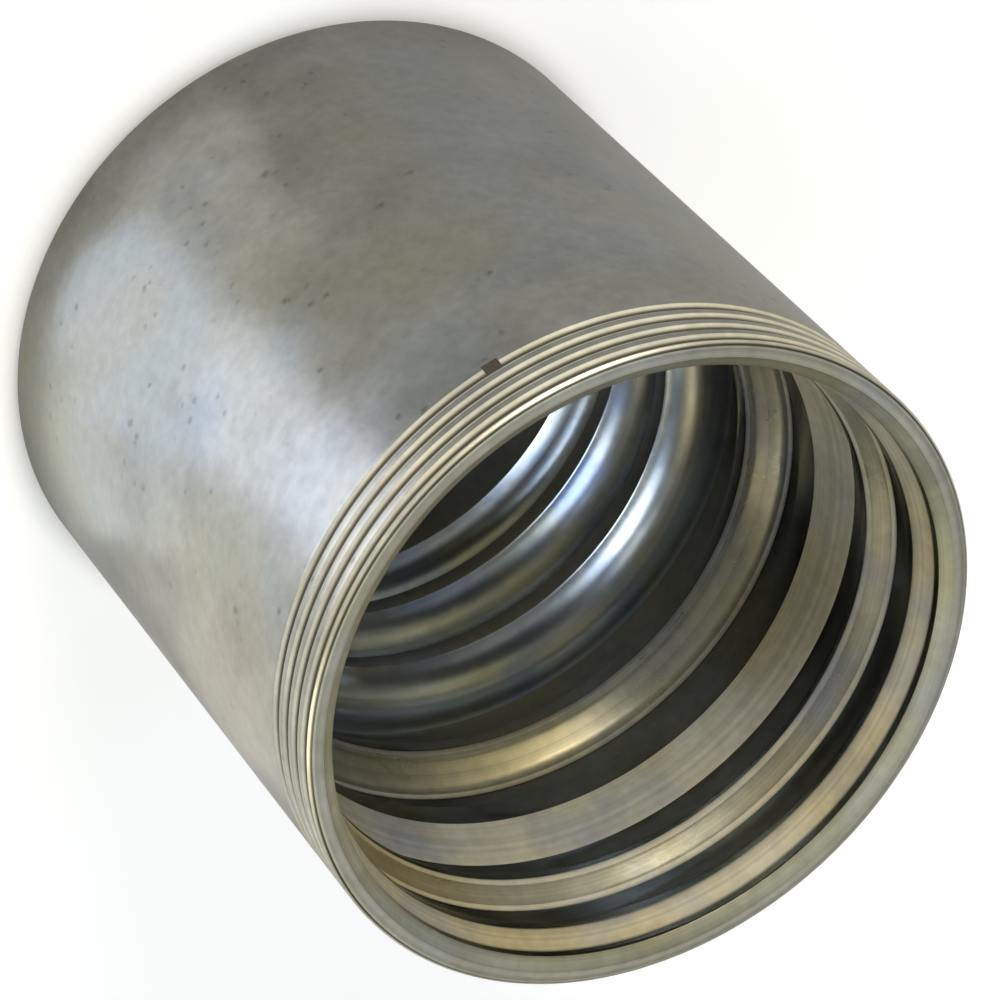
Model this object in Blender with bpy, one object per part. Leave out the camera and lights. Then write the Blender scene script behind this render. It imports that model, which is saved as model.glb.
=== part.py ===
"""Crimp hose ferrule: one turned steel sleeve that grips a hose end when it is pressed.

The sleeve stands on its fitting end, with the hose mouth up. All sizes are in metres and
all depths are measured down from the mouth face.
"""

import math
from dataclasses import dataclass

import bmesh
import bpy

# Sleeve
OUTER_DIAMETER = 0.0440
LENGTH = 0.0470
WALL = 0.00178
OUTER_CHAMFER = 0.00025
FOOT_CHAMFER = 0.0006
MOUTH_CHAMFER_WIDTH = 0.0008
MOUTH_CHAMFER_DEPTH = 0.0006

# Marker grooves turned round the outside below the mouth
GROOVE_COUNT = 4
GROOVE_PITCH = 0.00131
GROOVE_WIDTH = 0.00086
GROOVE_DEPTH = 0.00022
FIRST_GROOVE_DEPTH = 0.00069

# Entry rib, which closes on the hose cover first
ENTRY_CREST_DEPTH = 0.00285
ENTRY_FLANK = 0.0016
ENTRY_LAND = 0.0008
ENTRY_HEIGHT = 0.0005

# Cover ribs, cones with their crests an even pitch apart, which squeeze the cover
COVER_CREST_DEPTH = 0.0077
COVER_PITCH = 0.0070
COVER_FLANK = 0.00175
COVER_LAND = 0.0009
COVER_HEIGHT = 0.0009
BROAD_FLANK = 0.0037
BROAD_LAND = 0.0020
BROAD_HEIGHT = 0.0008
STEP_FLANK = 0.0023
STEP_LAND = 0.0015
STEP_HEIGHT = 0.0017

# Bite ribs, high and hollow ground up to a keen crest, which close on the bare wire braid
BITE_COUNT = 2
BITE_CREST_DEPTH = 0.0308
BITE_PITCH = 0.0066
BITE_FLANK = 0.0012
BITE_LAND = 0.0013
BITE_HEIGHT = 0.00295
BITE_HOLLOW = 0.0045

# Form that the ribs share
BACK_FLANK = 0.0006
SOFT_RADIUS = 0.0020
CRISP_RADIUS = 0.0003

# Locking collar at the fitting end
COLLAR_HEIGHT = 0.0031
COLLAR_THICKNESS = 0.0043
COLLAR_FLANK = 0.0012
COLLAR_CHAMFER = 0.0004

# Facets
TURN_STEPS = 64
LEAST_ARC_STEPS = 2
ARC_STRIDE = 0.0008
SHARP_ANGLE = math.radians(35)

# Share of a side that a corner's arc may take up, next to a sharp corner or a rounded one
FREE_SHARE = 0.95
HALF_SHARE = 0.48

# Bore between the ribs
ROOT_RADIUS = OUTER_DIAMETER / 2 - WALL


@dataclass(frozen=True)
class Corner:
    """A corner of the turned outline, at a radius and a height, with the radius it is rounded to."""

    radius: float
    height: float
    fillet: float = 0.0


@dataclass(frozen=True)
class Rib:
    """A ring in the bore: a front flank that faces the mouth, a crest land and a steep back."""

    crest_depth: float
    flank: float
    land: float
    height: float
    crest_round: float = SOFT_RADIUS
    foot_round: float = SOFT_RADIUS


def ribs() -> list[Rib]:
    """Lists the ribs from the mouth inward."""
    broad_depth = COVER_CREST_DEPTH + COVER_PITCH
    step_depth = broad_depth + COVER_PITCH
    cover = [
        Rib(ENTRY_CREST_DEPTH, ENTRY_FLANK, ENTRY_LAND, ENTRY_HEIGHT),
        Rib(COVER_CREST_DEPTH, COVER_FLANK, COVER_LAND, COVER_HEIGHT),
        Rib(broad_depth, BROAD_FLANK, BROAD_LAND, BROAD_HEIGHT, CRISP_RADIUS, CRISP_RADIUS),
        Rib(step_depth, STEP_FLANK, STEP_LAND, STEP_HEIGHT),
    ]
    bite_depths = [BITE_CREST_DEPTH + index * BITE_PITCH for index in range(BITE_COUNT)]
    bite = [
        Rib(depth, BITE_FLANK, BITE_LAND, BITE_HEIGHT, 0.0, BITE_HOLLOW)
        for depth in bite_depths
    ]
    return cover + bite


def outside_corners() -> list[Corner]:
    """Runs down the outside, from the mouth face to the foot."""
    radius = OUTER_DIAMETER / 2
    corners = [
        Corner(radius - OUTER_CHAMFER, LENGTH),
        Corner(radius, LENGTH - OUTER_CHAMFER),
    ]
    for index in range(GROOVE_COUNT):
        centre = LENGTH - FIRST_GROOVE_DEPTH - index * GROOVE_PITCH
        corners += [
            Corner(radius, centre + GROOVE_WIDTH / 2),
            Corner(radius - GROOVE_DEPTH, centre),
            Corner(radius, centre - GROOVE_WIDTH / 2),
        ]
    corners += [
        Corner(radius, FOOT_CHAMFER),
        Corner(radius - FOOT_CHAMFER, 0.0),
    ]
    return corners


def collar_corners() -> list[Corner]:
    """Runs across the foot and up through the collar to the root of the bore."""
    bore = ROOT_RADIUS - COLLAR_HEIGHT
    return [
        Corner(bore + COLLAR_CHAMFER, 0.0),
        Corner(bore, COLLAR_CHAMFER),
        Corner(bore, COLLAR_THICKNESS),
        Corner(ROOT_RADIUS, COLLAR_THICKNESS + COLLAR_FLANK, BITE_HOLLOW),
    ]


def rib_corners(rib: Rib) -> list[Corner]:
    """Runs up one rib, from the foot of its back to the foot of its front flank."""
    crest = ROOT_RADIUS - rib.height
    front = LENGTH - rib.crest_depth
    back = front - rib.land
    return [
        Corner(ROOT_RADIUS, back - BACK_FLANK),
        Corner(crest, back),
        Corner(crest, front, rib.crest_round),
        Corner(ROOT_RADIUS, front + rib.flank, rib.foot_round),
    ]


def mouth_corners() -> list[Corner]:
    """Opens the root of the bore out to the mouth face."""
    return [
        Corner(ROOT_RADIUS, LENGTH - MOUTH_CHAMFER_DEPTH),
        Corner(ROOT_RADIUS + MOUTH_CHAMFER_WIDTH, LENGTH),
    ]


def section_corners() -> list[Corner]:
    """Lists the corners of the wall's section: down the outside, then up the bore."""
    corners = outside_corners() + collar_corners()
    for rib in reversed(ribs()):
        corners += rib_corners(rib)
    return corners + mouth_corners()


def room(corner: Corner, neighbour: Corner) -> float:
    """Gives how far along the side to its neighbour a corner's arc may reach."""
    side = math.dist((corner.radius, corner.height), (neighbour.radius, neighbour.height))
    return side * (HALF_SHARE if neighbour.fillet else FREE_SHARE)


def rounded(before: Corner, corner: Corner, after: Corner) -> list[tuple[float, float]]:
    """Gives the points that round one corner off, or the corner itself where it is sharp."""
    here = (corner.radius, corner.height)
    if corner.fillet == 0.0:
        return [here]
    to_before = math.atan2(before.height - corner.height, before.radius - corner.radius)
    to_after = math.atan2(after.height - corner.height, after.radius - corner.radius)
    between = (to_after - to_before + math.pi) % math.tau - math.pi
    half = abs(between) / 2
    reach = min(corner.fillet / math.tan(half), room(corner, before), room(corner, after))
    fillet = reach * math.tan(half)
    middle = to_before + between / 2
    centre_reach = math.hypot(reach, fillet)
    centre_radius = corner.radius + centre_reach * math.cos(middle)
    centre_height = corner.height + centre_reach * math.sin(middle)
    sweep = math.copysign(math.pi - abs(between), between)
    steps = max(LEAST_ARC_STEPS, math.ceil(abs(sweep) * fillet / ARC_STRIDE))
    angles = [middle + math.pi + sweep * (0.5 - step / steps) for step in range(steps + 1)]
    return [
        (centre_radius + fillet * math.cos(angle), centre_height + fillet * math.sin(angle))
        for angle in angles
    ]


def section_points(corners: list[Corner]) -> list[tuple[float, float]]:
    """Turns the corners into the points of the closed section."""
    points = []
    for index, corner in enumerate(corners):
        before = corners[index - 1]
        after = corners[(index + 1) % len(corners)]
        points += rounded(before, corner, after)
    return points


def turned_mesh(name: str, points: list[tuple[float, float]]) -> bpy.types.Mesh:
    """Spins a closed section about the vertical axis into a closed ring."""
    turned = bmesh.new()
    section = [turned.verts.new((radius, 0.0, height)) for radius, height in points]
    edges = [
        turned.edges.new((section[index - 1], vertex))
        for index, vertex in enumerate(section)
    ]
    bmesh.ops.spin(
        turned,
        geom=section + edges,
        cent=(0.0, 0.0, 0.0),
        axis=(0.0, 0.0, 1.0),
        angle=math.tau,
        steps=TURN_STEPS,
        use_merge=True,
    )
    bmesh.ops.recalc_face_normals(turned, faces=turned.faces)
    mesh = bpy.data.meshes.new(name)
    turned.to_mesh(mesh)
    turned.free()
    mesh.shade_smooth()
    mesh.set_sharp_from_angle(angle=SHARP_ANGLE)
    return mesh


def zinc_plate() -> bpy.types.Material:
    """Gives the grey of bright zinc plate with a clear passivation."""
    material = bpy.data.materials.new("zinc_plated_steel")
    material.use_nodes = True
    shader = material.node_tree.nodes["Principled BSDF"]
    shader.inputs["Base Color"].default_value = (0.42, 0.42, 0.38, 1.0)
    shader.inputs["Metallic"].default_value = 1.0
    shader.inputs["Roughness"].default_value = 0.38
    return material


def build() -> bpy.types.Object:
    """Clears the scene and turns the ferrule.

    Returns:
        The sleeve's object, standing on its fitting end at the origin.
    """
    for leftover in list(bpy.data.objects):
        bpy.data.objects.remove(leftover)
    mesh = turned_mesh("ferrule_sleeve", section_points(section_corners()))
    mesh.materials.append(zinc_plate())
    sleeve = bpy.data.objects.new("ferrule_sleeve", mesh)
    bpy.context.collection.objects.link(sleeve)
    return sleeve


if __name__ == "__main__":
    build()
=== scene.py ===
"""Crimp hose ferrule, dressed for the picture.

One zinc plated steel sleeve stands on its fitting end with the hose mouth up. The scene turns
the sleeve on a fine outline, plates it, and sets a white floor, soft lamps and a camera that
looks down into the mouth. A small nick in the last marker groove is painted dark as shade in
the dent. All sizes are in metres and all depths are measured down from the mouth face.
"""

import logging
import math
from dataclasses import dataclass, field
from enum import Enum

import bpy
from mathutils import Matrix, Vector


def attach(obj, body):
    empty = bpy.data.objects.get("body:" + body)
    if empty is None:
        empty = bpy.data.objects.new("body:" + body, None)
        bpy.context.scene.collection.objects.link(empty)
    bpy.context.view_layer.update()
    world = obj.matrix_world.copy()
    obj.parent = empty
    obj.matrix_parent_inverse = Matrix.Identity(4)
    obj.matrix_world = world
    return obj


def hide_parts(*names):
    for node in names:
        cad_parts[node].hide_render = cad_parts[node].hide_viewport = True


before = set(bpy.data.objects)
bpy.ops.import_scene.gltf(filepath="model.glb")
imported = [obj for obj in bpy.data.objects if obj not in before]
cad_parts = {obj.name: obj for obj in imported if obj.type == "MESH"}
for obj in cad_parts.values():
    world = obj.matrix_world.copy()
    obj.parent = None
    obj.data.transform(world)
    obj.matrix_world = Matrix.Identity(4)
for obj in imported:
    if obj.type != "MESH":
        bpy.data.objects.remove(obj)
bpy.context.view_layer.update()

logging.basicConfig(level=logging.INFO, format="%(message)s")
log = logging.getLogger("ferrule")

SLEEVE_NODE = "ferrule_sleeve"

# Vertices nearer than this are one vertex
MERGE_DISTANCE = 0.000002


def linear(hex_colour: str) -> tuple[float, float, float, float]:
    """Turns an sRGB colour into the linear values that a shader takes.

    Args:
        hex_colour: The colour as six hexadecimal digits, with or without a hash.

    Returns:
        Red, green, blue and an alpha of one.
    """
    digits = hex_colour.lstrip("#")
    channels = [int(digits[place:place + 2], 16) / 255 for place in (0, 2, 4)]
    values = [c / 12.92 if c <= 0.04045 else ((c + 0.055) / 1.055) ** 2.4 for c in channels]
    return (values[0], values[1], values[2], 1.0)


def add_node(
    tree: bpy.types.NodeTree,
    kind: str,
    settings: dict[str, object] | None = None,
    links: dict[str | int, object] | None = None,
) -> bpy.types.Node:
    """Adds one node with its settings and what feeds it.

    Args:
        tree: The material's or the world's node tree.
        kind: The node's type name, without the prefix that all shader nodes share.
        settings: Values for the node's own properties.
        links: For each input, by name or place, a socket that feeds it or a fixed value.

    Returns:
        The new node.
    """
    node = tree.nodes.new("ShaderNode" + kind)
    for name, value in (settings or {}).items():
        setattr(node, name, value)
    for name, value in (links or {}).items():
        if isinstance(value, bpy.types.NodeSocket):
            tree.links.new(value, node.inputs[name])
        else:
            node.inputs[name].default_value = value
    return node


def shown_share(tree: bpy.types.NodeTree, mirrored_share: float) -> bpy.types.NodeSocket:
    """Gives one to what the camera sees directly and a share to what metal and glass show.

    Args:
        tree: The material's or the world's node tree.
        mirrored_share: The share for reflections and for what is seen through glass.

    Returns:
        The share for the ray at hand.
    """
    path = add_node(tree, "LightPath").outputs
    mirrored = add_node(tree, "Math", {"operation": "MAXIMUM"}, {
        0: path["Is Glossy Ray"], 1: path["Is Transmission Ray"],
    })
    return add_node(tree, "Math", {"operation": "MULTIPLY_ADD"}, {
        0: mirrored.outputs[0], 1: mirrored_share, 2: path["Is Camera Ray"],
    }).outputs[0]


def deselect_all() -> None:
    """Leaves object mode with nothing selected."""
    if bpy.context.object and bpy.context.object.mode != "OBJECT":
        bpy.ops.object.mode_set(mode="OBJECT")
    bpy.ops.object.select_all(action="DESELECT")


class Zone(Enum):
    """The surfaces of the sleeve that were cut in different ways; in the bore also how far a face
    faces up, which picks painted light or shade.
    """

    OUTSIDE = "outside"
    GROOVES = "grooves"
    NICK = "nick"
    MOUTH_FACE = "mouth_face"
    MOUTH_CHAMFER = "mouth_chamfer"
    RISES = "rises"
    STEEPS = "steeps"
    LANDS = "lands"
    DEEP_RIBS = "deep_ribs"


@dataclass(frozen=True)
class Corner:
    """A corner of the turned outline, at a radius and a height, with the radius it is rounded to."""

    radius: float
    height: float
    fillet: float = 0.0


@dataclass(frozen=True)
class Rib:
    """A ring in the bore: a front flank that faces the mouth, a crest land and a steep back."""

    crest_depth: float
    flank: float
    land: float
    height: float
    crest_round: float
    foot_round: float


@dataclass
class OutlinePen:
    """Draws the sleeve's half section in edit mode, one vertex extruded after another."""

    arc_stride: float = 0.00025
    least_arc_steps: int = 4
    free_share: float = 0.95
    half_share: float = 0.48
    place: tuple[float, float] = (0.0, 0.0)

    def start(self, name: str, radius: float, height: float) -> bpy.types.Object:
        """Puts down the first vertex.

        Args:
            name: The new object's name.
            radius: Distance of the vertex from the axis.
            height: Height of the vertex.

        Returns:
            The new object, in edit mode, with that vertex selected.
        """
        deselect_all()
        bpy.ops.mesh.primitive_plane_add(size=0.002, location=(0.0, 0.0, 0.0))
        piece = bpy.context.object
        piece.name = name
        piece.data.name = name
        bpy.ops.object.mode_set(mode="EDIT")
        bpy.ops.mesh.merge(type="CENTER")
        bpy.ops.transform.translate(value=(radius, 0.0, height))
        self.place = (radius, height)
        return piece

    def line_to(self, radius: float, height: float) -> None:
        """Extrudes the last vertex straight to a new place."""
        shift = (radius - self.place[0], 0.0, height - self.place[1])
        bpy.ops.mesh.extrude_vertices_move(TRANSFORM_OT_translate={"value": shift})
        self.place = (radius, height)

    def round_corner(self, before: Corner, corner: Corner, after: Corner) -> None:
        """Draws up to a corner and round it, or just to it where it is sharp.

        Args:
            before: The corner that the pen comes from.
            corner: The corner to draw.
            after: The corner that the pen goes to next.
        """
        here = (corner.radius, corner.height)
        if corner.fillet == 0.0:
            self.line_to(*here)
            return
        to_before = math.atan2(before.height - corner.height, before.radius - corner.radius)
        to_after = math.atan2(after.height - corner.height, after.radius - corner.radius)
        between = (to_after - to_before + math.pi) % math.tau - math.pi
        half = abs(between) / 2
        reach = min(
            corner.fillet / math.tan(half),
            self.room(corner, before),
            self.room(corner, after),
        )
        fillet = reach * math.tan(half)
        middle = to_before + between / 2
        centre_reach = math.hypot(reach, fillet)
        centre = (
            corner.radius + centre_reach * math.cos(middle),
            corner.height + centre_reach * math.sin(middle),
        )
        sweep = -math.copysign(math.pi - abs(between), between)
        steps = max(self.least_arc_steps, math.ceil(abs(sweep) * fillet / self.arc_stride))
        first = middle + math.pi - sweep / 2
        last = middle + math.pi + sweep / 2
        self.line_to(
            centre[0] + fillet * math.cos(first),
            centre[1] + fillet * math.sin(first),
        )
        bpy.ops.mesh.spin(
            steps=steps,
            angle=sweep,
            center=(centre[0], 0.0, centre[1]),
            axis=(0.0, 1.0, 0.0),
        )
        self.place = (
            centre[0] + fillet * math.cos(last),
            centre[1] + fillet * math.sin(last),
        )

    def room(self, corner: Corner, neighbour: Corner) -> float:
        """Gives how far along the side to its neighbour a corner's arc may reach."""
        side = math.dist((corner.radius, corner.height), (neighbour.radius, neighbour.height))
        return side * (self.half_share if neighbour.fillet else self.free_share)

    def draw(self, corners: list[Corner]) -> None:
        """Draws a closed outline through its corners, from the first one on."""
        for index in range(1, len(corners) + 1):
            before = corners[index - 1]
            corner = corners[index % len(corners)]
            after = corners[(index + 1) % len(corners)]
            self.round_corner(before, corner, after)
        bpy.ops.mesh.select_all(action="SELECT")
        bpy.ops.mesh.remove_doubles(threshold=MERGE_DISTANCE)


@dataclass(frozen=True)
class ZincFinish:
    """Bright zinc plate with a clear passivation, over steel as the lathe left it.

    It gives the eye a soft grey metal, a little yellow where the passivation is thicker, with
    mottling some millimetres across, fine rings from the tool and scattered pits. Clean, dull,
    tint and cool are the plate's colours. Metal below one leaves a satin share, and film is the
    share of a glossy clear film. The painted root shade darkens a groove from its edge's radius
    down to its root's: painted shade, where the groove lies in shadow. Lying is the finish that
    takes over where the surface runs along the bore, between the two leans, which are the upward
    part of the normal; faces that face up keep this finish's colour and lying ones take the lying
    finish's darker one, so the colour paints light and shade, while the roughness and the metal
    change for real. Real tool rings of 0.05 mm are too fine to show, so the ring and streak
    pitches are several times as coarse.
    """

    name: str
    clean: str
    dull: str
    tint: str
    roughness: float
    roughness_spread: float
    anisotropy: float
    ring_pitch: float = 0.00030
    ring_depth: float = 0.0
    grain_depth: float = 0.00001
    mottle_size: float = 0.0055
    grain_size: float = 0.0009
    cloud_size: float = 0.0150
    patch_size: float = 0.0093
    pits: float = 0.0
    pit_spacing: float = 0.0014
    pit_raggedness: float = 0.0008
    pit_colour: str = "#3a3933"
    pit_depth: float = 0.5
    faced: bool = False
    metal: float = 1.0
    film: float = 0.0
    film_roughness: float = 0.12
    cool: str = "#a9afb8"
    cool_share: float = 0.3
    streaks: float = 0.0
    streak_pitch: float = 0.0007
    # Painted shade in a groove's root: its colour and the radii that it fades between.
    painted_root_shade: str = "#4c483a"
    shade_root_radius: float = 0.0
    shade_edge_radius: float = 0.0
    lying: "ZincFinish | None" = None
    lean_start: float = 0.04
    lean_end: float = 0.19

    def material(self) -> bpy.types.Material:
        """Builds the material.

        Returns:
            The finish as a node material that reads object coordinates.
        """
        material = bpy.data.materials.new(self.name)
        material.use_nodes = True
        tree = material.node_tree
        tree.nodes.clear()
        places = add_node(tree, "TexCoord").outputs
        place = places["Object"]
        mottle = self.noise(tree, place, self.mottle_size, 3.0, 0.62)
        grain = self.noise(tree, place, self.grain_size, 2.0, 0.6)
        pits = self.pit_mask(tree, place, mottle, grain)
        colour = self.colour(tree, place, mottle, grain, pits)
        roughness = self.spread_roughness(tree, mottle)
        metal: bpy.types.NodeSocket | float = self.metal
        # Upward faces keep this finish's colour and lying faces take the lying finish's darker one:
        # painted light and shade by the normal, with a real change of roughness and metal.
        if self.lying is not None:
            normal_z = add_node(tree, "SeparateXYZ", {}, {0: places["Normal"]}).outputs["Z"]
            lean = add_node(tree, "MapRange", {"interpolation_type": "SMOOTHSTEP"}, {
                "Value": normal_z, "From Min": self.lean_start, "From Max": self.lean_end,
            }).outputs[0]
            colour = add_node(tree, "Mix", {"data_type": "RGBA"}, {
                0: lean, 6: linear(self.lying.clean), 7: colour,
            }).outputs[2]
            roughness = add_node(tree, "Mix", {}, {
                0: lean, 2: self.lying.roughness, 3: roughness,
            }).outputs[0]
            metal = add_node(tree, "MapRange", {}, {
                "Value": lean, "To Min": self.lying.metal, "To Max": self.metal,
            }).outputs[0]
        around = add_node(tree, "Tangent", {"direction_type": "RADIAL", "axis": "Z"})
        shader = add_node(tree, "BsdfPrincipled", {}, {
            "Base Color": colour,
            "Metallic": metal,
            "Roughness": roughness,
            "Anisotropic": self.anisotropy,
            "Coat Weight": self.film,
            "Coat Roughness": self.film_roughness,
            "Tangent": around.outputs[0],
        })
        if self.ring_depth:
            height = add_node(tree, "Math", {"operation": "MULTIPLY_ADD"}, {
                0: self.rings(tree, place, self.ring_pitch),
                1: self.ring_depth / self.grain_depth,
                2: grain,
            })
            bump = add_node(tree, "Bump", {}, {
                "Height": height.outputs[0], "Distance": self.grain_depth, "Strength": 1.0,
            })
            tree.links.new(bump.outputs[0], shader.inputs["Normal"])
        add_node(tree, "OutputMaterial", {}, {"Surface": shader.outputs[0]})
        return material

    def spread_roughness(
        self, tree: bpy.types.NodeTree, mottle: bpy.types.NodeSocket
    ) -> bpy.types.NodeSocket:
        """Spreads the roughness over the mottling."""
        return add_node(tree, "Math", {"operation": "MULTIPLY_ADD"}, {
            0: mottle, 1: self.roughness_spread, 2: self.roughness - self.roughness_spread / 2,
        }).outputs[0]

    def noise(
        self,
        tree: bpy.types.NodeTree,
        place: bpy.types.NodeSocket,
        size: float,
        detail: float,
        roughness: float,
    ) -> bpy.types.NodeSocket:
        """Adds a noise whose blots are a real size across.

        Args:
            tree: The node tree.
            place: The coordinates it reads.
            size: Size of a blot in metres.
            detail: Number of finer layers.
            roughness: Share of the finer layers.

        Returns:
            The noise's value.
        """
        return add_node(tree, "TexNoise", {}, {
            "Vector": place, "Scale": 1 / size, "Detail": detail, "Roughness": roughness,
        }).outputs[0]

    def rings(
        self, tree: bpy.types.NodeTree, place: bpy.types.NodeSocket, pitch: float
    ) -> bpy.types.NodeSocket:
        """Adds the rings that the tool left, which lie at one height or one radius.

        Args:
            tree: The node tree.
            place: The coordinates it reads.
            pitch: Distance between rings in metres.

        Returns:
            The rings' noise.
        """
        if self.faced:
            along = self.radius(tree, place)
        else:
            along = add_node(tree, "SeparateXYZ", {}, {0: place}).outputs["Z"]
        return add_node(tree, "TexNoise", {"noise_dimensions": "1D"}, {
            "W": along, "Scale": 1 / pitch, "Detail": 2.0, "Roughness": 0.7,
        }).outputs[0]

    def radius(
        self, tree: bpy.types.NodeTree, place: bpy.types.NodeSocket
    ) -> bpy.types.NodeSocket:
        """Gives the distance from the sleeve's axis."""
        flat = add_node(tree, "VectorMath", {"operation": "MULTIPLY"}, {
            0: place, 1: (1.0, 1.0, 0.0),
        })
        return add_node(tree, "VectorMath", {"operation": "LENGTH"}, {
            0: flat.outputs[0],
        }).outputs["Value"]

    def pit_mask(
        self,
        tree: bpy.types.NodeTree,
        place: bpy.types.NodeSocket,
        mottle: bpy.types.NodeSocket,
        grain: bpy.types.NodeSocket,
    ) -> bpy.types.NodeSocket | None:
        """Adds ragged pits a third of a millimetre across, in patches.

        Args:
            tree: The node tree.
            place: The coordinates it reads.
            mottle: Noise that says where the patches lie.
            grain: Noise that makes the pits ragged.

        Returns:
            The mask, or nothing for a finish without pits.
        """
        if self.pits == 0.0:
            return None
        moved = add_node(tree, "VectorMath", {"operation": "MULTIPLY_ADD"}, {
            0: grain,
            1: (self.pit_raggedness, -self.pit_raggedness, self.pit_raggedness),
            2: place,
        })
        cells = add_node(tree, "TexVoronoi", {}, {
            "Vector": moved.outputs[0], "Scale": 1 / self.pit_spacing,
        })
        dots = add_node(tree, "MapRange", {"interpolation_type": "SMOOTHSTEP"}, {
            "Value": cells.outputs["Distance"],
            "From Min": 0.05, "From Max": 0.27, "To Min": 1.0, "To Max": 0.0,
        })
        where = add_node(tree, "MapRange", {"interpolation_type": "SMOOTHSTEP"}, {
            "Value": mottle, "From Min": 0.50, "From Max": 0.40, "To Max": self.pits,
        })
        return add_node(tree, "Math", {"operation": "MULTIPLY"}, {
            0: dots.outputs[0], 1: where.outputs[0],
        }).outputs[0]

    def plate_colour(
        self,
        tree: bpy.types.NodeTree,
        place: bpy.types.NodeSocket,
        mottle: bpy.types.NodeSocket,
    ) -> bpy.types.NodeSocket:
        """Mixes the plate's own colours, with the tints of a thick and a thin passivation.

        Args:
            tree: The node tree.
            place: The coordinates it reads.
            mottle: Noise of the plate's own mottling.

        Returns:
            The colour of the clean plate.
        """
        clouds = self.noise(tree, place, self.cloud_size, 1.0, 0.5)
        blend = add_node(tree, "MapRange", {}, {
            "Value": mottle, "From Min": 0.34, "From Max": 0.66,
        })
        plate = add_node(tree, "Mix", {"data_type": "RGBA"}, {
            0: blend.outputs[0], 6: linear(self.dull), 7: linear(self.clean),
        })
        thick = add_node(tree, "MapRange", {}, {
            "Value": clouds, "From Min": 0.42, "From Max": 0.66, "To Max": 0.9,
        })
        tinted = add_node(tree, "Mix", {"data_type": "RGBA"}, {
            0: thick.outputs[0], 6: plate.outputs[2], 7: linear(self.tint),
        }).outputs[2]
        if self.cool_share == 0.0:
            return tinted
        thin = add_node(tree, "MapRange", {}, {
            "Value": self.noise(tree, place, self.patch_size, 2.0, 0.55),
            "From Min": 0.48, "From Max": 0.66, "To Max": self.cool_share,
        })
        return add_node(tree, "Mix", {"data_type": "RGBA"}, {
            0: thin.outputs[0], 6: tinted, 7: linear(self.cool),
        }).outputs[2]

    def shades(
        self,
        tree: bpy.types.NodeTree,
        place: bpy.types.NodeSocket,
        grain: bpy.types.NodeSocket,
    ) -> bpy.types.NodeSocket:
        """Gives the light and dark of the grain and of the tool's streaks.

        Args:
            tree: The node tree.
            place: The coordinates it reads.
            grain: Fine noise of the surface.

        Returns:
            What the colour is multiplied by.
        """
        shades = add_node(tree, "MapRange", {}, {
            "Value": grain, "From Min": 0.3, "From Max": 0.7, "To Min": 0.90, "To Max": 1.06,
        }).outputs[0]
        if self.streaks == 0.0:
            return shades
        lines = add_node(tree, "MapRange", {}, {
            "Value": self.rings(tree, place, self.streak_pitch),
            "From Min": 0.36, "From Max": 0.64,
            "To Min": 1.0 - self.streaks, "To Max": 1.0 + self.streaks / 3,
        })
        return add_node(tree, "Math", {"operation": "MULTIPLY"}, {
            0: shades, 1: lines.outputs[0],
        }).outputs[0]

    def colour(
        self,
        tree: bpy.types.NodeTree,
        place: bpy.types.NodeSocket,
        mottle: bpy.types.NodeSocket,
        grain: bpy.types.NodeSocket,
        pits: bpy.types.NodeSocket | None,
    ) -> bpy.types.NodeSocket:
        """Shades the plate's colour, then darkens the pits and paints shade into the groove roots.

        Args:
            tree: The node tree.
            place: The coordinates it reads.
            mottle: Noise of the plate's own mottling.
            grain: Fine noise of the surface.
            pits: Mask of the pits, or nothing.

        Returns:
            The finished colour.
        """
        plate = self.plate_colour(tree, place, mottle)
        shades = self.shades(tree, place, grain)
        result = add_node(tree, "Mix", {"data_type": "RGBA", "blend_type": "MULTIPLY"}, {
            0: 1.0, 6: plate, 7: shades,
        }).outputs[2]
        if pits is not None:
            dark = add_node(tree, "Math", {"operation": "MULTIPLY"}, {
                0: pits, 1: self.pit_depth,
            })
            result = add_node(tree, "Mix", {"data_type": "RGBA"}, {
                0: dark.outputs[0], 6: result, 7: linear(self.pit_colour),
            }).outputs[2]
        # Painted shade: darker towards a groove's root, where shade falls.
        if self.shade_edge_radius:
            root_shaded = add_node(tree, "MapRange", {"interpolation_type": "SMOOTHSTEP"}, {
                "Value": self.radius(tree, place),
                "From Min": self.shade_root_radius, "From Max": self.shade_edge_radius,
                "To Min": 1.0, "To Max": 0.0,
            })
            result = add_node(tree, "Mix", {"data_type": "RGBA"}, {
                0: root_shaded.outputs[0], 6: result, 7: linear(self.painted_root_shade),
            }).outputs[2]
        return result


# Zinc plate on a fine turned outside: satin, with the mottling of a tumbled part.
OUTSIDE_PLATE = ZincFinish(
    name="zinc_plate_turned_outside",
    clean="#a09f9a",
    dull="#898882",
    tint="#99968a",
    roughness=0.31,
    roughness_spread=0.14,
    anisotropy=0.6,
    ring_pitch=0.00035,
    ring_depth=0.0000015,
    pits=0.9,
    cool="#8f9aa4",
    cool_share=0.25,
)

# Zinc plate in the form cut marker grooves: the bright cream of the sides is a painted highlight,
# and the dark root is painted shade.
GROOVE_PLATE = ZincFinish(
    name="zinc_plate_form_cut_grooves_painted_highlight_and_shade",
    clean="#e2dfd1",
    dull="#cbc8b8",
    tint="#d6cfb6",
    roughness=0.32,
    roughness_spread=0.08,
    anisotropy=0.3,
    ring_pitch=0.00025,
    ring_depth=0.000001,
    metal=0.5,
    shade_root_radius=0.02181,
    shade_edge_radius=0.02193,
)

# The nick: dull brown black, painted on as shade in the dent, so that the nick reads as a dark
# fleck.
NICK_PAINTED_SHADE = ZincFinish(
    name="painted_shade_in_the_nick",
    clean="#4a463a",
    dull="#35322a",
    tint="#3f3b30",
    roughness=0.6,
    roughness_spread=0.1,
    anisotropy=0.0,
    metal=0.2,
    cool_share=0.0,
)

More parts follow.
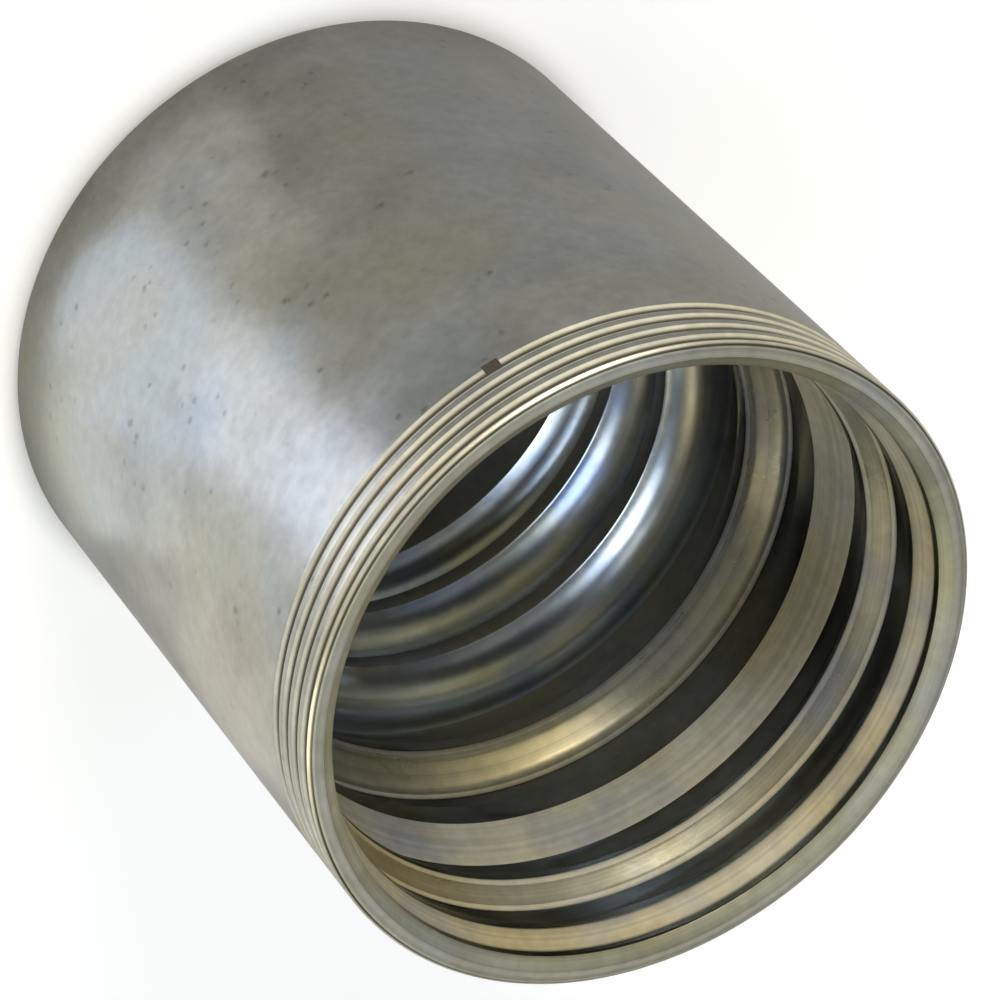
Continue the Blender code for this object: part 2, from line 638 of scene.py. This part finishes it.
# Zinc plate on the mouth's chamfer, rubbed dull by handling: an olive band inside the rim.
CHAMFER_PLATE = ZincFinish(
    name="zinc_plate_rubbed_mouth_chamfer",
    clean="#a3a291",
    dull="#878674",
    tint="#959075",
    roughness=0.45,
    roughness_spread=0.10,
    anisotropy=0.2,
    ring_pitch=0.00022,
    ring_depth=0.000003,
    metal=0.6,
    streaks=0.2,
    streak_pitch=0.00035,
)

# Zinc plate on the faced mouth: close concentric tool marks.
MOUTH_PLATE = ZincFinish(
    name="zinc_plate_faced_mouth",
    clean="#adac9e",
    dull="#919082",
    tint="#9e9c86",
    roughness=0.46,
    roughness_spread=0.10,
    anisotropy=0.1,
    ring_pitch=0.00022,
    ring_depth=0.000003,
    faced=True,
    metal=0.8,
    streaks=0.25,
    streak_pitch=0.00030,
)

# Zinc plate on the lands and the roots: burnished smooth, so it mirrors the dark of the bore.
LAND_PLATE = ZincFinish(
    name="zinc_plate_burnished_lands",
    clean="#94928a",
    dull="#7f7e70",
    tint="#8a8468",
    roughness=0.17,
    roughness_spread=0.05,
    anisotropy=0.3,
    cool_share=0.0,
)

# Zinc plate where a rib rises and rounds off, satin: the cream is a painted highlight on faces that
# face up, and it fades into the lands' darker colour.
RISE_PLATE = ZincFinish(
    name="zinc_plate_satin_rises_painted_highlight",
    clean="#eeeadc",
    dull="#dad5c0",
    tint="#e2d2a4",
    roughness=0.42,
    roughness_spread=0.12,
    anisotropy=0.2,
    ring_depth=0.0000020,
    metal=0.6,
    film=0.3,
    film_roughness=0.2,
    cool="#a4aec8",
    cool_share=0.6,
    streaks=0.14,
    lying=LAND_PLATE,
)

# Zinc plate on the steep middle of a rib's flank: burnished, under a glossy clear film; its pale
# grey is partly a painted sheen.
STEEP_PLATE = ZincFinish(
    name="zinc_plate_burnished_flanks_painted_sheen",
    clean="#d2d0c2",
    dull="#b9b6a2",
    tint="#c6b98c",
    roughness=0.28,
    roughness_spread=0.08,
    anisotropy=0.3,
    ring_depth=0.0000020,
    metal=0.80,
    film=0.5,
    film_roughness=0.14,
    cool="#9fabc6",
    cool_share=0.5,
    streaks=0.25,
)

# Zinc plate on the upward faces of the deep ribs and the collar: the bright blue grey is a painted
# sheen that stands in for soft blue reflections.
DEEP_PLATE = ZincFinish(
    name="zinc_plate_deep_ribs_painted_blue_sheen",
    clean="#d6dadd",
    dull="#bcbeb8",
    tint="#c0c0a8",
    roughness=0.26,
    roughness_spread=0.06,
    anisotropy=0.35,
    cool="#93a5cc",
    cool_share=0.7,
    streaks=0.15,
)


@dataclass
class FerruleSleeve:
    """The sleeve: a turned ring with marker grooves outside and gripping ribs in the bore."""

    outer_diameter: float = 0.0440
    length: float = 0.0470
    wall: float = 0.00178
    outer_chamfer: float = 0.00025
    foot_chamfer: float = 0.0006
    mouth_chamfer_width: float = 0.0008
    mouth_chamfer_depth: float = 0.0006
    groove_count: int = 4
    groove_pitch: float = 0.00131
    groove_width: float = 0.00086
    groove_depth: float = 0.00022
    first_groove_depth: float = 0.00069
    back_flank: float = 0.0006
    collar_height: float = 0.0031
    collar_thickness: float = 0.0043
    collar_flank: float = 0.0012
    collar_chamfer: float = 0.0004
    collar_hollow: float = 0.0045
    turn_steps: int = 256
    broken_edge: float = 0.00004
    edge_angle: float = 20.0
    smooth_angle: float = 25.0
    nick_angle: float = 255.94
    nick_height: float = 0.04195
    nick_reach: float = 0.00020
    nick_depth: float = 0.00022
    nick_length: float = 0.00030
    nick_shade_reach: float = 0.00038
    margin: float = 0.00002
    bore_margin: float = 0.0001
    deep_start: float = 0.0245
    rise_slope: float = 0.09
    steep_slope: float = 0.315
    ribs: list[Rib] = field(default_factory=lambda: [
        Rib(0.00285, 0.0016, 0.0008, 0.0005, 0.0020, 0.0020),
        Rib(0.0077, 0.00175, 0.0009, 0.0009, 0.0020, 0.0020),
        Rib(0.0147, 0.0037, 0.0020, 0.0008, 0.0003, 0.0003),
        Rib(0.0217, 0.0023, 0.0015, 0.0017, 0.0020, 0.0020),
        Rib(0.0308, 0.0012, 0.0013, 0.00295, 0.0, 0.0045),
        Rib(0.0374, 0.0012, 0.0013, 0.00295, 0.0, 0.0045),
    ])

    @property
    def root(self) -> float:
        """Radius of the bore between the ribs."""
        return self.outer_diameter / 2 - self.wall

    def outside_corners(self) -> list[Corner]:
        """Runs down the outside, from the mouth face to the foot."""
        radius = self.outer_diameter / 2
        corners = [
            Corner(radius - self.outer_chamfer, self.length),
            Corner(radius, self.length - self.outer_chamfer),
        ]
        for index in range(self.groove_count):
            centre = self.length - self.first_groove_depth - index * self.groove_pitch
            corners += [
                Corner(radius, centre + self.groove_width / 2),
                Corner(radius - self.groove_depth, centre, 0.0001),
                Corner(radius, centre - self.groove_width / 2),
            ]
        return corners + [
            Corner(radius, self.nick_height - self.nick_length),
            Corner(radius, self.foot_chamfer),
            Corner(radius - self.foot_chamfer, 0.0),
        ]

    def collar_corners(self) -> list[Corner]:
        """Runs across the foot and up through the collar to the root of the bore."""
        bore = self.root - self.collar_height
        return [
            Corner(bore + self.collar_chamfer, 0.0),
            Corner(bore, self.collar_chamfer),
            Corner(bore, self.collar_thickness),
            Corner(self.root, self.collar_thickness + self.collar_flank, self.collar_hollow),
        ]

    def rib_corners(self, rib: Rib) -> list[Corner]:
        """Runs up one rib, from the foot of its back to the foot of its front flank."""
        crest = self.root - rib.height
        front = self.length - rib.crest_depth
        back = front - rib.land
        return [
            Corner(self.root, back - self.back_flank),
            Corner(crest, back),
            Corner(crest, front, rib.crest_round),
            Corner(self.root, front + rib.flank, rib.foot_round),
        ]

    def section_corners(self) -> list[Corner]:
        """Lists the corners of the wall's section: down the outside, then up the bore."""
        corners = self.outside_corners() + self.collar_corners()
        for rib in reversed(self.ribs):
            corners += self.rib_corners(rib)
        return corners + [
            Corner(self.root, self.length - self.mouth_chamfer_depth),
            Corner(self.root + self.mouth_chamfer_width, self.length),
        ]

    def build(self) -> bpy.types.Object:
        """Turns the sleeve.

        Returns:
            The sleeve's object, at the origin.
        """
        corners = self.section_corners()
        pen = OutlinePen()
        piece = pen.start("turned_sleeve", corners[0].radius, corners[0].height)
        pen.draw(corners)
        bpy.ops.mesh.spin(
            steps=self.turn_steps,
            angle=math.tau,
            center=(0.0, 0.0, 0.0),
            axis=(0.0, 0.0, 1.0),
            use_auto_merge=True,
        )
        bpy.ops.mesh.select_all(action="SELECT")
        bpy.ops.mesh.remove_doubles(threshold=MERGE_DISTANCE)
        bpy.ops.mesh.normals_make_consistent(inside=False)
        bpy.ops.object.mode_set(mode="OBJECT")
        self.knock_nick(piece)
        self.break_edges(piece)
        bpy.ops.object.shade_smooth_by_angle(angle=math.radians(self.smooth_angle))
        return piece

    @property
    def struck(self) -> Vector:
        """The point that was knocked, on the lower edge of the last marker groove."""
        turn = math.radians(self.nick_angle)
        radius = self.outer_diameter / 2
        return Vector((radius * math.cos(turn), radius * math.sin(turn), self.nick_height))

    def knock_nick(self, piece: bpy.types.Object) -> None:
        """Knocks the small nick inward at the struck point."""
        struck = self.struck
        outward = Vector((struck.x, struck.y, 0.0)).normalized()
        bpy.ops.object.mode_set(mode="EDIT")
        bpy.ops.mesh.select_mode(type="VERT")
        bpy.ops.mesh.select_all(action="DESELECT")
        bpy.ops.object.mode_set(mode="OBJECT")
        for vertex in piece.data.vertices:
            vertex.select = (vertex.co - struck).length < self.nick_reach
        bpy.ops.object.mode_set(mode="EDIT")
        bpy.ops.transform.translate(value=-outward * self.nick_depth)
        bpy.ops.mesh.select_all(action="DESELECT")
        bpy.ops.object.mode_set(mode="OBJECT")

    def break_edges(self, piece: bpy.types.Object) -> None:
        """Takes the sharpness off every turned edge, as deburring does."""
        bevel = piece.modifiers.new("broken_edges", "BEVEL")
        bevel.width = self.broken_edge
        bevel.segments = 2
        bevel.limit_method = "ANGLE"
        bevel.angle_limit = math.radians(self.edge_angle)
        bevel.use_clamp_overlap = True
        bpy.ops.object.modifier_apply(modifier=bevel.name)

    def zone_of(self, centre: Vector, normal: Vector) -> Zone:
        """Says how a face was cut, and in the bore how far it faces up, which picks its painted
        light or shade.

        Args:
            centre: The face's centre.
            normal: The face's outward normal.

        Returns:
            The zone that the face belongs to.
        """
        radius = math.hypot(centre.x, centre.y)
        if radius < self.root + self.bore_margin:
            # Lying bore faces take the darker land colour, upward ones the painted highlight and
            # sheen of the rises, steeps and deep ribs.
            if normal.z < self.rise_slope:
                return Zone.LANDS
            if centre.z < self.length - self.deep_start:
                return Zone.DEEP_RIBS
            return Zone.RISES if normal.z < self.steep_slope else Zone.STEEPS
        if centre.z > self.length - self.margin and normal.z > 0.99:
            return Zone.MOUTH_FACE
        chamfer_edge = self.root + self.mouth_chamfer_width + self.bore_margin
        if centre.z > self.length - self.mouth_chamfer_depth and radius < chamfer_edge:
            return Zone.MOUTH_CHAMFER
        if radius < self.outer_diameter / 2 - self.margin and centre.z > self.length / 2:
            # Faces near the nick take its painted shade.
            near_nick = (centre - self.struck).length < self.nick_shade_reach
            return Zone.NICK if near_nick else Zone.GROOVES
        return Zone.OUTSIDE

    def dress(self, piece: bpy.types.Object) -> None:
        """Plates the sleeve, each zone with its own finish."""
        finishes = {
            Zone.OUTSIDE: OUTSIDE_PLATE,
            Zone.GROOVES: GROOVE_PLATE,
            Zone.NICK: NICK_PAINTED_SHADE,
            Zone.MOUTH_FACE: MOUTH_PLATE,
            Zone.MOUTH_CHAMFER: CHAMFER_PLATE,
            Zone.RISES: RISE_PLATE,
            Zone.STEEPS: STEEP_PLATE,
            Zone.LANDS: LAND_PLATE,
            Zone.DEEP_RIBS: DEEP_PLATE,
        }
        slots = {}
        for zone, finish in finishes.items():
            slots[zone] = len(piece.data.materials)
            piece.data.materials.append(finish.material())
        for face in piece.data.polygons:
            face.material_index = slots[self.zone_of(face.center, face.normal)]

    def make(self) -> bpy.types.Object:
        """Builds and dresses the sleeve and ties it to the frame."""
        piece = self.build()
        self.dress(piece)
        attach(piece, "root")
        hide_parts(SLEEVE_NODE)
        return piece


@dataclass(frozen=True)
class PhotoView:
    """The camera, placed by the outline of the mouth and the sleeve in the photograph."""

    focal: float = 4779.63
    image_width: float = 982.0
    image_height: float = 1000.0
    sensor: float = 36.0
    place: tuple[float, float, float] = (0.4179, 0.4632, 12.8708)
    tilt: float = 0.6983
    turn: float = 3.9684
    unit: float = 0.0220
    fitted_height: float = 0.04675

    def model_axes(self) -> Matrix:
        """Gives the model's axes as columns, in the camera's own right, down and forward."""
        up = -Vector((
            math.sin(self.tilt) * math.cos(self.turn),
            math.sin(self.tilt) * math.sin(self.turn),
            math.cos(self.tilt),
        ))
        forward = Vector((0.0, 0.0, 1.0))
        back = (forward - forward.dot(up) * up).normalized()
        side = back.cross(up)
        return Matrix((side, back, up)).transposed()

    def make(self) -> bpy.types.Object:
        """Adds the camera.

        Returns:
            The camera's object, set as the scene's camera.
        """
        axes = self.model_axes()
        across = axes.transposed()
        shift = Vector(self.place) * self.unit - axes @ Vector((0.0, 0.0, self.fitted_height))
        turn = Matrix((
            across @ Vector((1.0, 0.0, 0.0)),
            -(across @ Vector((0.0, 1.0, 0.0))),
            -(across @ Vector((0.0, 0.0, 1.0))),
        )).transposed()
        camera = bpy.data.cameras.new("photo_view")
        camera.sensor_width = self.sensor
        camera.lens = self.focal * self.sensor / max(self.image_width, self.image_height)
        camera.clip_start = 0.01
        camera.clip_end = 10.0
        viewer = bpy.data.objects.new("photo_view", camera)
        bpy.context.collection.objects.link(viewer)
        viewer.matrix_world = Matrix.Translation(-(across @ shift)) @ turn.to_4x4()
        bpy.context.scene.camera = viewer
        return viewer


@dataclass(frozen=True)
class Lamp:
    """A round soft lamp, seen from the sleeve at an elevation and an azimuth in degrees.

    The azimuth is nought on the camera's side and grows towards the model's right.
    """

    name: str
    elevation: float
    azimuth: float
    spread: float
    radiance: float
    colour: str
    distance: float = 0.8

    def make(self, aim: Vector) -> bpy.types.Object:
        """Adds the lamp.

        Args:
            aim: The point that the lamp faces.

        Returns:
            The lamp's object.
        """
        rise = math.radians(self.elevation)
        turn = math.radians(self.azimuth)
        towards = Vector((
            math.cos(rise) * math.sin(turn),
            -math.cos(rise) * math.cos(turn),
            math.sin(rise),
        ))
        radius = self.distance * math.tan(math.radians(self.spread))
        light = bpy.data.lights.new(self.name, "AREA")
        light.shape = "DISK"
        light.size = 2 * radius
        light.energy = self.radiance * math.pi * math.pi * radius * radius
        light.color = linear(self.colour)[:3]
        lamp = bpy.data.objects.new(self.name, light)
        bpy.context.collection.objects.link(lamp)
        lamp.location = aim + towards * self.distance
        lamp.rotation_euler = towards.to_track_quat("Z", "Y").to_euler()
        lamp.visible_camera = False
        return lamp


@dataclass(frozen=True)
class FloorPanel:
    """A flat lamp that lies on the floor and faces up, between two distances from the axis."""

    name: str
    azimuth: float
    near: float
    far: float
    width: float
    radiance: float
    colour: str
    lift: float = 0.0003

    def make(self) -> bpy.types.Object:
        """Adds the panel.

        Returns:
            The panel's object.
        """
        turn = math.radians(self.azimuth)
        middle = (self.near + self.far) / 2
        light = bpy.data.lights.new(self.name, "AREA")
        light.shape = "RECTANGLE"
        light.size = self.width
        light.size_y = self.far - self.near
        light.energy = self.radiance * math.pi * light.size * light.size_y
        light.color = linear(self.colour)[:3]
        panel = bpy.data.objects.new(self.name, light)
        bpy.context.collection.objects.link(panel)
        panel.location = (middle * math.sin(turn), -middle * math.cos(turn), self.lift)
        panel.rotation_euler = (math.pi, 0.0, turn)
        panel.visible_camera = False
        return panel


@dataclass
class Studio:
    """The floor, the sky, the lamps round the sleeve and the panels at its foot."""

    floor_size: float = 3.0
    floor_colour: str = "#c6c6c4"
    floor_glow: float = 0.56
    # Radii between which the floor's painted shadow under the sleeve fades into its glow.
    glow_start: float = 0.0200
    glow_full: float = 0.0240
    mirrored_glow: float = 0.15
    horizon: str = "#dcdcda"
    zenith: str = "#8c8d8e"
    sky_strength: float = 0.08
    mirrored_sky: float = 0.01
    lamps: list[Lamp] = field(default_factory=lambda: [
        Lamp("rear_softbox", 58, 135, 9.5, 3.0, "#fffce0"),
        Lamp("rear_low_softbox", 47, 180, 9.5, 2.8, "#fff8ff"),
        Lamp("rear_high_softbox", 72, 180, 9.5, 3.6, "#ccdfff"),
        Lamp("overhead_warm_softbox", 72, 135, 9.5, 2.7, "#fffdc8"),
        Lamp("overhead_cool_softbox", 65, 45, 10.5, 5.9, "#d8e6ff"),
        Lamp("overhead_left_card", 72, 300, 9.5, 0.35, "#e6eeff"),
        Lamp("front_softbox", 40, 28, 9.5, 1.6, "#e6eeff"),
        Lamp("right_softbox", 40, 108, 9.5, 3.2, "#f6ffff"),
        Lamp("right_low_softbox", 24, 82, 14.0, 4.4, "#fff9dc"),
        Lamp("left_softbox", 40, 252, 9.5, 4.2, "#cfe2ff"),
        Lamp("low_front_softbox", 24, 325, 12.5, 16.0, "#fff6e0"),
        Lamp("left_front_softbox", 28, 312, 9.5, 3.2, "#fff6e2"),
        Lamp("horizon_front_card", 4, 5, 9.5, 1.6, "#fff4e0"),
        Lamp("horizon_side_card", 4, 30, 9.5, 1.2, "#c0d6ff"),
        Lamp("horizon_rear_card", 4, 210, 9.5, 1.8, "#fff6d0"),
    ])
    panels: list[FloorPanel] = field(default_factory=lambda: [
        FloorPanel("floor_panel_near", 34, 0.0235, 0.034, 0.021, 1.3, "#d6e6ff"),
        FloorPanel("floor_panel_front", 0, 0.0235, 0.034, 0.014, 0.35, "#ffffff"),
        FloorPanel("floor_panel_side", 62, 0.0235, 0.055, 0.019, 0.66, "#f6ffff"),
        FloorPanel("floor_panel_middle", 30, 0.034, 0.055, 0.024, 2.0, "#dae6ff"),
        FloorPanel("floor_panel_far", 30, 0.055, 0.115, 0.042, 3.3, "#e4e9ff"),
        FloorPanel("floor_panel_warm", 90, 0.034, 0.115, 0.040, 0.62, "#fff3e0"),
    ])

    def make_floor(self) -> bpy.types.Object:
        """Lays a white floor that keeps the sleeve's shadow and shows white in the metal; its glow
        is painted out under the sleeve as a painted shadow.
        """
        deselect_all()
        bpy.ops.mesh.primitive_plane_add(size=self.floor_size, location=(0.0, 0.0, 0.0))
        floor = bpy.context.object
        floor.name = "floor"
        material = bpy.data.materials.new("white_paper_floor")
        material.use_nodes = True
        tree = material.node_tree
        tree.nodes.clear()
        paper = add_node(tree, "BsdfDiffuse", {}, {"Color": linear(self.floor_colour)})
        place = add_node(tree, "TexCoord").outputs["Object"]
        away = add_node(tree, "VectorMath", {"operation": "LENGTH"}, {0: place})
        # Painted shadow: the glow fades to nothing within the sleeve's footprint, so the floor under
        # the bore stays dark.
        clear = add_node(tree, "MapRange", {"interpolation_type": "SMOOTHSTEP"}, {
            "Value": away.outputs["Value"],
            "From Min": self.glow_start, "From Max": self.glow_full,
            "To Min": 0.0, "To Max": self.floor_glow,
        })
        strength = add_node(tree, "Math", {"operation": "MULTIPLY"}, {
            0: shown_share(tree, self.mirrored_glow), 1: clear.outputs[0],
        })
        glow = add_node(tree, "Emission", {}, {
            "Color": linear("#ffffff"), "Strength": strength.outputs[0],
        })
        both = add_node(tree, "AddShader", {}, {0: paper.outputs[0], 1: glow.outputs[0]})
        add_node(tree, "OutputMaterial", {}, {"Surface": both.outputs[0]})
        floor.data.materials.append(material)
        return floor

    def make_sky(self) -> None:
        """Sets a faint sky, lighter at the horizon than overhead, that the camera sees as white."""
        world = bpy.data.worlds.new("studio_sky")
        bpy.context.scene.world = world
        world.use_nodes = True
        tree = world.node_tree
        tree.nodes.clear()
        way = add_node(tree, "TexCoord").outputs["Generated"]
        height = add_node(tree, "SeparateXYZ", {}, {0: way}).outputs["Z"]
        rise = add_node(tree, "MapRange", {"interpolation_type": "SMOOTHSTEP"}, {
            "Value": height, "From Min": 0.35, "From Max": 0.95,
        })
        colour = add_node(tree, "Mix", {"data_type": "RGBA"}, {
            0: rise.outputs[0], 6: linear(self.horizon), 7: linear(self.zenith),
        })
        seen = add_node(tree, "LightPath").outputs["Is Camera Ray"]
        pale = add_node(tree, "Mix", {"data_type": "RGBA"}, {
            0: seen, 6: colour.outputs[2], 7: linear("#ffffff"),
        })
        strength = add_node(tree, "Math", {"operation": "ADD"}, {
            0: shown_share(tree, self.mirrored_sky), 1: self.sky_strength,
        })
        sky = add_node(tree, "Background", {}, {
            "Color": pale.outputs[2], "Strength": strength.outputs[0],
        })
        add_node(tree, "OutputWorld", {}, {"Surface": sky.outputs[0]})

    def make(self, aim: Vector) -> None:
        """Sets up the floor, the sky, the lamps and the panels."""
        self.make_floor()
        self.make_sky()
        for lamp in self.lamps:
            lamp.make(aim)
            log.info("lamp %s", lamp.name)
        for panel in self.panels:
            panel.make()
            log.info("panel %s", panel.name)


def main() -> None:
    """Builds the scene in order and reports each piece."""
    bpy.context.scene.view_settings.view_transform = "Standard"
    view = PhotoView()
    view.make()
    sleeve = FerruleSleeve()
    piece = sleeve.make()
    log.info("piece %s with %d faces", piece.name, len(piece.data.polygons))
    Studio().make(Vector((0.0, 0.0, sleeve.length / 2)))


if __name__ == "__main__":
    main()
